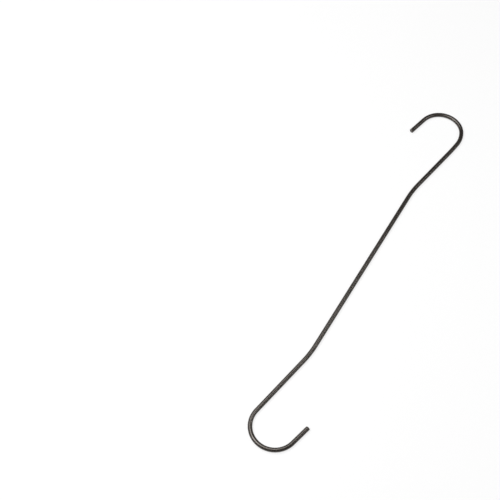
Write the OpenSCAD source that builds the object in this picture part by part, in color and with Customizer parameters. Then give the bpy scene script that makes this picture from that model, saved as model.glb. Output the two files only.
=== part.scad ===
// Garden hook: one round steel rod, bent into a long S with a crooked neck below each hook.
// It lies flat, with its underside on the XY plane and its middle over the origin.
// +Y is the line of pull, which runs through the middles of both hooks.

/* [Rod] */
// Diameter of the rod
rod_d = 4; // [3:0.5:6]
// Length over the outsides of both hooks, along the line of pull
overall_l = 380; // [340:5:600]
// Radius that rounds the edge of each cut end
end_edge_r = 0.5; // [0.1:0.1:1]

/* [Hooks] */
// Inside diameter of each hook's bend
hook_inside_d = 37; // [25:1:45]
// Angle that each hook turns through
hook_turn = 177; // [140:1:195]
// Straight leg from the end of the hook's bend to the cut end
tip_l = 18.5; // [8:0.5:30]

/* [Necks] */
// Straight leg between the hook's bend and the neck's bend
shank_l = 60; // [40:1:75]
// Radius of the neck's bend, at the middle of the rod
neck_bend_r = 95; // [60:1:120]
// Angle that each neck turns through, away from the hook's mouth
neck_turn = 11; // [4:0.5:16]

/* [Bends] */
// How much thicker the rod is in a bend, where the cold metal swells
bend_swell = 0.02; // [0.01:0.01:0.1]
// How far the swelling of a bend runs on along each straight that it meets
bend_lap = 0.2; // [0.1:0.05:0.3]

/* [Hidden] */
$fn = 96;

rod_r = rod_d / 2;
bend_d = rod_d + bend_swell;
bend_r = bend_d / 2;
hook_bend_r = hook_inside_d / 2 + bend_r;

// Middle of a hook's bend, measured from the middle of the rod: across and along the long straight
hook_across = neck_bend_r * (1 - cos(neck_turn)) + shank_l * sin(neck_turn) - hook_bend_r * cos(neck_turn);
hook_reach = overall_l / 2 - hook_bend_r - bend_r;
hook_along = sqrt(hook_reach * hook_reach - hook_across * hook_across);

// Half of the long straight is what one neck, shank and hook leave of half the length
half_straight_l = hook_along - (neck_bend_r + hook_bend_r) * sin(neck_turn) - shank_l * cos(neck_turn);

// Lean of the long straight that puts the middles of both hooks on the line of pull
lean = atan2(hook_across, hook_along);

// A straight length of rod from the origin along +Y. Its child goes on from its far end.
module straight(length) {
    rotate([-90, 0, 0])
        cylinder(h = length, d = rod_d);
    translate([0, length, 0])
        children();
}

// A bend that leaves the origin along +Y and turns left, or right for a negative angle.
// It laps over the straights at both ends. Its child goes on from its far end.
module bend(radius, turn) {
    side = sign(turn);
    lap_turn = side * bend_lap / radius * 180 / PI;
    first_angle = side > 0 ? 0 : 180;
    translate([-side * radius, 0, 0]) {
        rotate_extrude(angle = turn + 2 * lap_turn, start = first_angle - lap_turn)
            translate([radius, 0])
                circle(d = bend_d);
        rotate([0, 0, turn])
            translate([side * radius, 0, 0])
                children();
    }
}

// The last of the rod before a cut end, with a flat face and a rounded edge
module cut_end() {
    flat_r = rod_r - end_edge_r;
    rotate([-90, 0, 0])
        rotate_extrude() {
            square([flat_r, end_edge_r]);
            intersection() {
                translate([flat_r, 0])
                    circle(r = end_edge_r);
                square([rod_r, end_edge_r]);
            }
        }
}

// Half of the rod, from its middle to one cut end, in the order that it is bent
module arm() {
    straight(half_straight_l)
        bend(neck_bend_r, -neck_turn)
            straight(shank_l)
                bend(hook_bend_r, hook_turn)
                    straight(tip_l - end_edge_r)
                        cut_end();
}

// The whole rod: the second arm is the first, turned half round about the middle
module hook() {
    color("#4a4541")
        translate([0, 0, bend_r])
            for (half_turn = [0, 180])
                rotate([0, 0, half_turn + lean])
                    arm();
}

hook();
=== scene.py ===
"""Garden hook: one painted steel rod, bent into a long S, lying on a pale studio floor."""

import math
from collections import namedtuple

import bpy
import numpy as np
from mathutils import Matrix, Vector


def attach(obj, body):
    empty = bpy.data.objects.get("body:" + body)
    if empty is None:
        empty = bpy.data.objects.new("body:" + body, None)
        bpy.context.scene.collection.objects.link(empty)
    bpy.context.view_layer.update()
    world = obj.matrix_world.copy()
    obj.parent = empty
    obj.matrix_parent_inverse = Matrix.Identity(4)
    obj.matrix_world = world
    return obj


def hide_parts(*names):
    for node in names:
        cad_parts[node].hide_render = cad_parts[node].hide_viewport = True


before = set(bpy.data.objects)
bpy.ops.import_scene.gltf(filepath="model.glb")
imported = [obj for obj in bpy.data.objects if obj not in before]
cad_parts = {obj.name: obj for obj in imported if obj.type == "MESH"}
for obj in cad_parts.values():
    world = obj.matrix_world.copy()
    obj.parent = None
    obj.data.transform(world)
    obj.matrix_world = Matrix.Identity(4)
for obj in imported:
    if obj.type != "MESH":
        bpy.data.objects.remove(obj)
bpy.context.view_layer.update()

Station = namedtuple("Station", "along x y heading crown")
EndRing = namedtuple("EndRing", "out radius wear cut reach")
Pattern = namedtuple("Pattern", "scale stretch detail roughness")
Softbox = namedtuple("Softbox", "place size power")

MM = 0.001

# Driving sizes of the rod, in millimetres and degrees, the same as the solid's
ROD_D = 4.0
OVERALL_L = 380.0
END_EDGE_R = 0.5
HOOK_INSIDE_D = 37.0
HOOK_TURN = 177.0
TIP_L = 18.5
SHANK_L = 60.0
NECK_BEND_R = 95.0
NECK_TURN = 11.0
BEND_SWELL = 0.02

# What follows from them
ROD_R = ROD_D / 2
AXIS_HEIGHT = ROD_R + BEND_SWELL / 2
HOOK_BEND_R = HOOK_INSIDE_D / 2 + AXIS_HEIGHT

# How finely the skin of the rod is meshed
RING_STEP = 1.0
SIDES = 48
EDGE_RINGS = 7
FACE_RINGS = 8

# Angles of a ring's points, from the rod's left side. They start below it, where the map's seam is hidden
RING_ANGLES = np.arange(SIDES) * 2 * math.pi / SIDES - math.pi / 2

# Sheared ends: the blade rolls one side of the edge over more, and past BREAK_LINE, as a share of the
# rod's radius, the break steps back on the other side
BLADE_SIDE = math.radians(120)
ROLL_BIAS = 0.2
BREAK_LINE = -0.15
BREAK_DEPTH = 0.12
BREAK_SHARPNESS = 5.0
BREAK_FADE_RINGS = 4

# The upper hook was bent a little unevenly: its shank runs into it early, this far inside the true bend
EASE_DEPTH = 0.75
EASE_PLACE = 172.0
EASE_SPREAD = 7.5

# Wear, from 0 to 1: the inside of each hook, to either side of its crown, and the faces of the cut ends
CROWN_WEAR = 0.55
CROWN_SPREAD = math.radians(38)
CROWN_NARROWNESS = 3
FACE_WEAR = 0.35

# Rows of the skin's map: the rod cut into equal lengths, with a gap between rows
MAP_ROWS = 6
MAP_GAP = 0.9

# Camera of the photograph, found by fitting the hook's outline to it
PHOTO_SIDE_PIXELS = 500
FOCAL_PIXELS = 1131
CAMERA_AZIMUTH = math.radians(28.63)
CAMERA_ELEVATION = math.radians(61.03)
CAMERA_DISTANCE = 1.0142
CAMERA_TARGET = Vector((-0.09765, -0.03138, AXIS_HEIGHT * MM))

# Linear colours of the paint, the metal under it, the floor and the light
PAINT_DEEP = (0.0152, 0.0127, 0.0112, 1)
PAINT_LIGHT = (0.0280, 0.0233, 0.0206, 1)
PAINT_RUBBED = (0.062, 0.052, 0.044, 1)
STEEL = (0.23, 0.21, 0.19, 1)
FLOOR_WHITE = (0.92, 0.92, 0.92, 1)
PURE_WHITE = (1, 1, 1, 1)

# Gloss of the paint
PAINT_SPECULAR = 0.72
PAINT_TINT = (1.0, 0.925, 0.85, 1)
ROUGH_LOW = 0.20
ROUGH_HIGH = 0.26
RUBBED_ROUGH = 0.18
BARE_METALLIC = 0.8

# Patterns of noise in the paint, with as many features to a metre as their scale. A stretch below 1 draws
# them out along the rod, or along the blade's way across a cut face
DRIFT = Pattern(scale=160, stretch=(0.35, 1, 1), detail=3, roughness=0.5)
GRAIN = Pattern(scale=2600, stretch=(1, 1, 1), detail=3, roughness=0.6)
SCUFF = Pattern(scale=1500, stretch=(0.5, 1, 1), detail=4, roughness=0.65)
PEEL = Pattern(scale=600, stretch=(1, 1, 1), detail=1, roughness=0.5)
LINES = Pattern(scale=2400, stretch=(0.03, 1, 1), detail=2, roughness=0.5)
SHEAR = Pattern(scale=2200, stretch=(1, 0.06, 1), detail=2, roughness=0.5)

# How much of each pattern goes into the tone and the relief, and between which values each takes effect
NOISE_MIDDLE = 0.5
DRIFT_SHARE = 0.65
TONE_RANGE = (0.35, 0.65)
GRAIN_RANGE = (0.30, 0.70)
SCUFF_RANGE = (0.30, 0.70)
SCUFF_LEAST = 0.25
BARE_RANGE = (0.56, 0.66)
GRAIN_RELIEF = 0.25
LINE_RELIEF = 0.2
SHEAR_RELIEF = 4.5
RELIEF_DEPTH = 0.06
RELIEF_STRENGTH = 0.9

# Softboxes that face the floor: right, away and up from the middle of the hook as the camera sees it, then
# their width and depth, in metres, and their power in watts. The patch is a brighter part of the left one
LEFT_SOFTBOX = Softbox(place=(-0.40, 0.12, 0.88), size=(0.85, 1.0), power=9.8)
LEFT_PATCH = Softbox(place=(-0.60, -0.16, 0.86), size=(0.36, 0.36), power=3.2)
RIGHT_SOFTBOX = Softbox(place=(0.76, -0.12, 0.86), size=(0.13, 0.70), power=3.4)

# The floor's width in metres, and how much of its white is there without a lamp
FLOOR_SPAN = 40
FLOOR_GLOW = 0.78

# The room: a wall as pale as the far floor, which fades out at this share of straight up, and dim above it
WALL_LEVEL = FLOOR_GLOW
WALL_TOP = 0.12
ROOM_LEVEL = 0.08


def plan_of_arm():
    """Half of the long straight, and the lean that puts the middles of both hooks on the line of pull."""
    turn = math.radians(NECK_TURN)
    across = NECK_BEND_R * (1 - math.cos(turn)) + SHANK_L * math.sin(turn) - HOOK_BEND_R * math.cos(turn)
    reach = OVERALL_L / 2 - HOOK_BEND_R - AXIS_HEIGHT
    along = math.sqrt(reach * reach - across * across)
    straight = along - (NECK_BEND_R + HOOK_BEND_R) * math.sin(turn) - SHANK_L * math.cos(turn)
    return straight, math.atan2(across, along)


def arm_stations():
    """Stations down the middle of one arm, from the middle of the rod to where its cut end rounds off."""
    half_straight, lean = plan_of_arm()
    neck_turn = math.radians(NECK_TURN)
    hook_turn = math.radians(HOOK_TURN)
    stretches = [
        (half_straight, 0.0),
        (NECK_BEND_R * neck_turn, -neck_turn),
        (SHANK_L, 0.0),
        (HOOK_BEND_R * hook_turn, hook_turn),
        (TIP_L - END_EDGE_R, 0.0),
    ]
    along, x, y = 0.0, 0.0, 0.0
    heading = math.pi / 2 + lean
    stations = [Station(along, x, y, heading, 0.0)]
    for length, turn in stretches:
        steps = math.ceil(length / RING_STEP)
        half_step_turn = turn / steps / 2
        chord = length / steps * np.sinc(half_step_turn / math.pi)
        for step in range(1, steps + 1):
            heading += half_step_turn
            x += chord * math.cos(heading)
            y += chord * math.sin(heading)
            heading += half_step_turn
            along += length / steps
            from_crown = turn * step / steps - turn / 2
            crown = math.exp(-(from_crown / CROWN_SPREAD) ** 2) if turn == hook_turn else 0.0
            stations.append(Station(along, x, y, heading, crown))
    return stations


def eased(station):
    """The station, moved to the inside of the upper hook where its bend was eased."""
    past = (station.along - EASE_PLACE) / EASE_SPREAD
    depth = EASE_DEPTH * math.exp(-past * past / 2)
    x = station.x - depth * math.sin(station.heading)
    y = station.y + depth * math.cos(station.heading)
    return station._replace(x=x, y=y, heading=station.heading - depth * past / EASE_SPREAD)


def rod_stations():
    """Stations of the whole rod. The second arm is the first, turned half round about the middle."""
    arm = arm_stations()
    other = [Station(-s.along, -s.x, -s.y, s.heading, -s.crown) for s in reversed(arm[1:])]
    return other + [eased(station) for station in arm]


class Skin:
    """The rings of points that make the skin of the rod, from one end's middle to the other's."""

    def __init__(self):
        self.points = []
        self.unbent = []
        self.wear = []
        self.cut = []
        self.alongs = []
        self.reaches = []

    def add(self, station, out, radius, wear, cut=0.0, reach=None):
        """Adds a ring about a station. out, radius and wear hold a value for each side of the rod.

        A ring of an end also says whether it is on the cut face, 1 or 0, and has its reach from the middle
        of the end's disc on the map."""
        way = np.array([math.cos(station.heading), math.sin(station.heading), 0.0])
        left = np.array([-way[1], way[0], 0.0])
        up = np.array([0.0, 0.0, 1.0])
        middle = np.array([station.x, station.y, AXIS_HEIGHT])
        side, rise = radius * np.cos(RING_ANGLES), radius * np.sin(RING_ANGLES)
        self.points.append(middle + np.outer(out, way) + np.outer(side, left) + np.outer(rise, up))
        self.unbent.append(np.column_stack([station.along + out, side, rise]))
        self.wear.append(wear)
        self.cut.append(np.full(SIDES, cut))
        self.alongs.append(station.along + out.mean())
        self.reaches.append(reach)


def end_rings():
    """Rings of a sheared end, from the skin of the rod to the middle of the cut face."""
    toward_blade = np.cos(RING_ANGLES - BLADE_SIDE)
    roll = END_EDGE_R * (1 + ROLL_BIAS * (1 + toward_blade))
    flat = ROD_R - roll
    rings = []
    for k in range(EDGE_RINGS + 1):
        slope = k / EDGE_RINGS * math.pi / 2
        out = END_EDGE_R - roll * (1 - math.sin(slope))
        radius = flat + roll * math.cos(slope)
        wear = np.full(SIDES, math.sin(2 * slope) ** 2)
        reach = (flat + roll * (math.pi / 2 - slope)).mean()
        rings.append(EndRing(out, radius, wear, float(k == EDGE_RINGS), reach))
    for k in range(1, FACE_RINGS + 1):
        radius = flat * (1 - k / FACE_RINGS)
        past_line = BREAK_LINE - radius * toward_blade / ROD_R
        depth = BREAK_DEPTH * min(1, k / BREAK_FADE_RINGS)
        step_back = depth * (1 + np.tanh(BREAK_SHARPNESS * past_line)) / 2
        wear = np.full(SIDES, FACE_WEAR)
        rings.append(EndRing(END_EDGE_R - step_back, radius, wear, 1.0, radius.mean()))
    return rings


def rod_skin():
    """The skin of the whole rod as rings: one sheared end, the bent length and the other sheared end."""
    stations = rod_stations()
    skin = Skin()
    ends = end_rings()
    for ring in reversed(ends):
        skin.add(stations[0], -ring.out, ring.radius, ring.wear, ring.cut, ring.reach)
    for station in stations[1:-1]:
        inner_side = np.clip(np.sign(station.crown) * np.cos(RING_ANGLES), 0, 1)
        wear = CROWN_WEAR * abs(station.crown) * inner_side ** CROWN_NARROWNESS
        skin.add(station, np.zeros(SIDES), np.full(SIDES, ROD_R), wear)
    for ring in ends:
        skin.add(stations[-1], *ring)
    return skin


def rod_faces(ring_count):
    """Faces between neighbouring rings, with a fan of triangles at each end's middle."""
    first_pole = 0
    first_ring = 1
    last_pole = first_ring + (ring_count - 2) * SIDES
    last_ring = last_pole - SIDES
    faces = []
    for side in range(SIDES):
        after = (side + 1) % SIDES
        faces.append((first_pole, first_ring + after, first_ring + side))
    for near in range(first_ring, last_ring, SIDES):
        far = near + SIDES
        for side in range(SIDES):
            after = (side + 1) % SIDES
            faces.append((near + side, near + after, far + after, far + side))
    for side in range(SIDES):
        after = (side + 1) % SIDES
        faces.append((last_ring + side, last_ring + after, last_pole))
    return faces


def disc_corners(middle, flip, near_reach, far_reach, side):
    """Places on the map of the corners of a face on an end's disc. A disc seen from inside is flipped."""
    corners = []
    for reach, step in [(near_reach, 0), (near_reach, 1), (far_reach, 1), (far_reach, 0)]:
        angle = 2 * math.pi * (side + step) / SIDES
        corners.append((middle[0] + flip * reach * math.cos(angle), middle[1] + reach * math.sin(angle)))
    return corners


def row_corners(start, row, near_along, far_along, side):
    """Places on the map of the corners of a face on the rod's length, in a row that has its start."""
    across = [row * (math.pi * ROD_D + MAP_GAP) + (side + k) / SIDES * math.pi * ROD_D for k in (0, 1)]
    near, far = near_along - start + MAP_GAP, far_along - start + MAP_GAP
    return [(near, across[0]), (near, across[1]), (far, across[1]), (far, across[0])]


def map_corners(skin, ring, side):
    """Places on the skin's map, in millimetres, of the corners of the face between a ring and the next."""
    last = len(skin.alongs) - 1
    row_length = (skin.alongs[last] - skin.alongs[0]) / MAP_ROWS
    near_along, far_along = skin.alongs[ring], skin.alongs[ring + 1]
    near_reach, far_reach = skin.reaches[ring], skin.reaches[ring + 1]
    if near_reach is None or far_reach is None:
        past_start = (near_along + far_along) / 2 - skin.alongs[0]
        row = min(MAP_ROWS - 1, int(past_start / row_length))
        return row_corners(skin.alongs[0] + row * row_length, row, near_along, far_along, side)
    at_last_end = ring > last / 2
    disc_r = ROD_R + END_EDGE_R
    discs_level = MAP_ROWS * (math.pi * ROD_D + MAP_GAP) + disc_r
    middle = (disc_r + MAP_GAP + at_last_end * row_length / 2, discs_level)
    corners = disc_corners(middle, 1 if at_last_end else -1, near_reach, far_reach, side)
    if ring == 0:
        return corners[1:]
    return corners[:3] if ring == last - 1 else corners


def write_map(mesh, skin):
    """Writes the map of the skin: rows of rod lengths, with the two end faces as discs above them."""
    corners = []
    for ring in range(len(skin.alongs) - 1):
        for side in range(SIDES):
            corners += map_corners(skin, ring, side)
    places = np.array(corners)
    places /= places.max() + MAP_GAP
    layer = mesh.uv_layers.new(name="OFBake")
    layer.uv.foreach_set("vector", places.ravel().astype(np.float32))


def in_point_order(rings):
    """Values of the rings in the order of the mesh's points. The middle of each end is one point."""
    return np.concatenate([rings[0][:1], *rings[1:-1], rings[-1][:1]])


def make_hook():
    """The hook as one clean mesh, which keeps its unbent place, its wear, its cut faces and its map."""
    skin = rod_skin()
    points = in_point_order(skin.points) * MM
    unbent = in_point_order(skin.unbent) * MM
    faces = rod_faces(len(skin.points))
    mesh = bpy.data.meshes.new("painted_hook")
    mesh.from_pydata(points.tolist(), [], faces)
    mesh.attributes.new("unbent", "FLOAT_VECTOR", "POINT").data.foreach_set("vector", unbent.ravel())
    for name, rings in [("wear", skin.wear), ("cut", skin.cut)]:
        mesh.attributes.new(name, "FLOAT", "POINT").data.foreach_set("value", in_point_order(rings))
    write_map(mesh, skin)
    mesh.polygons.foreach_set("use_smooth", [True] * len(faces))
    mesh.validate()
    hook = bpy.data.objects.new("painted_hook", mesh)
    bpy.context.scene.collection.objects.link(hook)
    return hook


def add_node(tree, kind, inputs=None, **settings):
    """Adds a node. A socket among its inputs is linked, and any other value is set."""
    node = tree.nodes.new(kind)
    for name, value in settings.items():
        setattr(node, name, value)
    for name, value in (inputs or {}).items():
        if isinstance(value, bpy.types.NodeSocket):
            tree.links.new(value, node.inputs[name])
        else:
            node.inputs[name].default_value = value
    return node


def attribute(tree, name, output):
    """A value that the mesh keeps at its points."""
    return add_node(tree, "ShaderNodeAttribute", attribute_name=name).outputs[output]


def noise(tree, where, pattern):
    """A pattern of noise at a place, from 0 to 1."""
    stretch = {0: where, 1: pattern.stretch}
    drawn_out = add_node(tree, "ShaderNodeVectorMath", stretch, operation="MULTIPLY").outputs[0]
    inputs = {"Vector": drawn_out, "Scale": pattern.scale}
    inputs.update({"Detail": pattern.detail, "Roughness": pattern.roughness})
    return add_node(tree, "ShaderNodeTexNoise", inputs).outputs["Fac"]


def remap(tree, value, source, target):
    """Takes the source range onto the target range, smoothly and with no overshoot."""
    inputs = {"Value": value, "From Min": source[0], "From Max": source[1]}
    inputs.update({"To Min": target[0], "To Max": target[1]})
    return add_node(tree, "ShaderNodeMapRange", inputs, interpolation_type="SMOOTHSTEP").outputs["Result"]


def calculate(tree, operation, a, b):
    """The result of one operation on two values."""
    return add_node(tree, "ShaderNodeMath", {0: a, 1: b}, operation=operation).outputs[0]


def weighted(tree, *terms):
    """The total of some values, each times its weight."""
    total = 0.0
    for value, weight in terms:
        inputs = {0: value, 1: weight, 2: total}
        total = add_node(tree, "ShaderNodeMath", inputs, operation="MULTIPLY_ADD").outputs[0]
    return total


def mix_colours(tree, factor, a, b):
    """The colour a, turning into b as the factor goes from 0 to 1.

    A mix has sockets of the same names for each kind of value, so they are picked by number."""
    return add_node(tree, "ShaderNodeMix", {0: factor, 6: a, 7: b}, data_type="RGBA").outputs[2]


def mix_values(tree, factor, a, b):
    """The value a, turning into b as the factor goes from 0 to 1."""
    return add_node(tree, "ShaderNodeMix", {0: factor, 2: a, 3: b}, data_type="FLOAT").outputs[0]


def coat_colour(tree, where, grain):
    """The paint's own colour: slow drifts in the coat and fine grain, between two close browns."""
    drift = noise(tree, where, DRIFT)
    tone = weighted(tree, (drift, DRIFT_SHARE), (grain, 1 - DRIFT_SHARE))
    return mix_colours(tree, remap(tree, tone, TONE_RANGE, (0, 1)), PAINT_DEEP, PAINT_LIGHT)


def shear_marks(tree, where):
    """Marks that the blade left across the cut faces, along its own way."""
    turned = {"Vector": where, "Angle": -BLADE_SIDE}
    along_blade = add_node(tree, "ShaderNodeVectorRotate", turned, rotation_type="X_AXIS").outputs[0]
    marks = noise(tree, along_blade, SHEAR)
    above_face = calculate(tree, "SUBTRACT", marks, NOISE_MIDDLE)
    return calculate(tree, "MULTIPLY", above_face, attribute(tree, "cut", "Fac"))


def coat_relief(tree, where, grain):
    """The paint's surface: orange peel, grains in the coat, the die's lines on the rod, and shear marks."""
    peel = noise(tree, where, PEEL)
    lines = noise(tree, where, LINES)
    marks = shear_marks(tree, where)
    height = weighted(tree, (peel, 1), (grain, GRAIN_RELIEF), (lines, LINE_RELIEF), (marks, SHEAR_RELIEF))
    inputs = {"Height": height, "Strength": RELIEF_STRENGTH, "Distance": RELIEF_DEPTH * MM}
    return add_node(tree, "ShaderNodeBump", inputs).outputs["Normal"]


def painted_steel():
    """Dark brown satin paint on steel rod, rubbed where it wears and gone in specks at the cut edges."""
    material = bpy.data.materials.new("painted_steel")
    material.use_nodes = True
    tree = material.node_tree
    shader = tree.nodes["Principled BSDF"]
    where = attribute(tree, "unbent", "Vector")
    wear = attribute(tree, "wear", "Fac")
    grain = noise(tree, where, GRAIN)
    scuff = noise(tree, where, SCUFF)
    rubbed = calculate(tree, "MULTIPLY", wear, remap(tree, scuff, SCUFF_RANGE, (SCUFF_LEAST, 1)))
    bare = remap(tree, calculate(tree, "MULTIPLY", wear, scuff), BARE_RANGE, (0, 1))
    coat = mix_colours(tree, rubbed, coat_colour(tree, where, grain), PAINT_RUBBED)
    satin = remap(tree, grain, GRAIN_RANGE, (ROUGH_LOW, ROUGH_HIGH))
    finish = {
        "Base Color": mix_colours(tree, bare, coat, STEEL),
        "Metallic": calculate(tree, "MULTIPLY", bare, BARE_METALLIC),
        "Roughness": mix_values(tree, rubbed, satin, RUBBED_ROUGH),
        "Normal": coat_relief(tree, where, grain),
    }
    for name, value in finish.items():
        tree.links.new(value, shader.inputs[name])
    shader.inputs["Specular IOR Level"].default_value = PAINT_SPECULAR
    shader.inputs["Specular Tint"].default_value = PAINT_TINT
    return material


def studio_floor():
    """A plain pale floor that reads as white but keeps the hook's soft shadow."""
    bpy.ops.mesh.primitive_plane_add(size=FLOOR_SPAN)
    floor = bpy.context.object
    floor.name = "floor"
    material = bpy.data.materials.new("floor")
    material.use_nodes = True
    tree = material.node_tree
    tree.nodes.clear()
    path = add_node(tree, "ShaderNodeLightPath").outputs
    seen = calculate(tree, "MAXIMUM", path["Is Camera Ray"], path["Is Glossy Ray"])
    seen = calculate(tree, "MAXIMUM", seen, path["Is Transmission Ray"])
    matt = add_node(tree, "ShaderNodeBsdfDiffuse", {"Color": FLOOR_WHITE}).outputs[0]
    white = add_node(tree, "ShaderNodeEmission", {"Color": PURE_WHITE}).outputs[0]
    share = calculate(tree, "MULTIPLY", seen, FLOOR_GLOW)
    mixed = add_node(tree, "ShaderNodeMixShader", {0: share, 1: matt, 2: white}).outputs[0]
    add_node(tree, "ShaderNodeOutputMaterial", {"Surface": mixed})
    floor.data.materials.append(material)
    return floor


def beside_camera(right, away, up):
    """A direction in the row frame, from the camera's right, its way ahead along the floor, and up."""
    c, s = math.cos(CAMERA_AZIMUTH), math.sin(CAMERA_AZIMUTH)
    return Vector((right * c - away * s, right * s + away * c, up))


def hang_softbox(name, softbox):
    """A soft light that faces the floor, turned with the camera, which doesn't see it."""
    lamp = bpy.data.lights.new(name, "AREA")
    lamp.shape = "RECTANGLE"
    lamp.size, lamp.size_y = softbox.size
    lamp.energy = softbox.power
    light = bpy.data.objects.new(name, lamp)
    bpy.context.scene.collection.objects.link(light)
    light.location = beside_camera(*softbox.place)
    light.rotation_euler = (0, 0, CAMERA_AZIMUTH)
    light.visible_camera = False


def room_light():
    """The light of a plain room, dim but for a pale wall that fades upwards."""
    world = bpy.data.worlds.new("room")
    world.use_nodes = True
    tree = world.node_tree
    way = add_node(tree, "ShaderNodeTexCoord").outputs["Generated"]
    height = add_node(tree, "ShaderNodeSeparateXYZ", {0: way}).outputs["Z"]
    level = remap(tree, height, (0, WALL_TOP), (WALL_LEVEL, ROOM_LEVEL))
    tree.links.new(level, tree.nodes["Background"].inputs["Strength"])
    tree.nodes["Background"].inputs["Color"].default_value = PURE_WHITE
    bpy.context.scene.world = world


def studio_light():
    """A wide softbox on the left with a bright patch, a narrow one on the right, and the room's light."""
    hang_softbox("left_softbox", LEFT_SOFTBOX)
    hang_softbox("left_patch", LEFT_PATCH)
    hang_softbox("right_softbox", RIGHT_SOFTBOX)
    room_light()


def photo_camera():
    """The camera of the photograph."""
    data = bpy.data.cameras.new("camera")
    data.lens = data.sensor_width * FOCAL_PIXELS / PHOTO_SIDE_PIXELS
    camera = bpy.data.objects.new("camera", data)
    bpy.context.scene.collection.objects.link(camera)
    back = beside_camera(0, -math.cos(CAMERA_ELEVATION), math.sin(CAMERA_ELEVATION))
    camera.location = CAMERA_TARGET + back * CAMERA_DISTANCE
    camera.rotation_euler = (-back).to_track_quat("-Z", "Y").to_euler()
    bpy.context.scene.camera = camera


hook = make_hook()
hook.data.materials.append(painted_steel())
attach(hook, "root")
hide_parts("hook")
studio_floor()
studio_light()
photo_camera()
bpy.context.scene.view_settings.view_transform = "Standard"
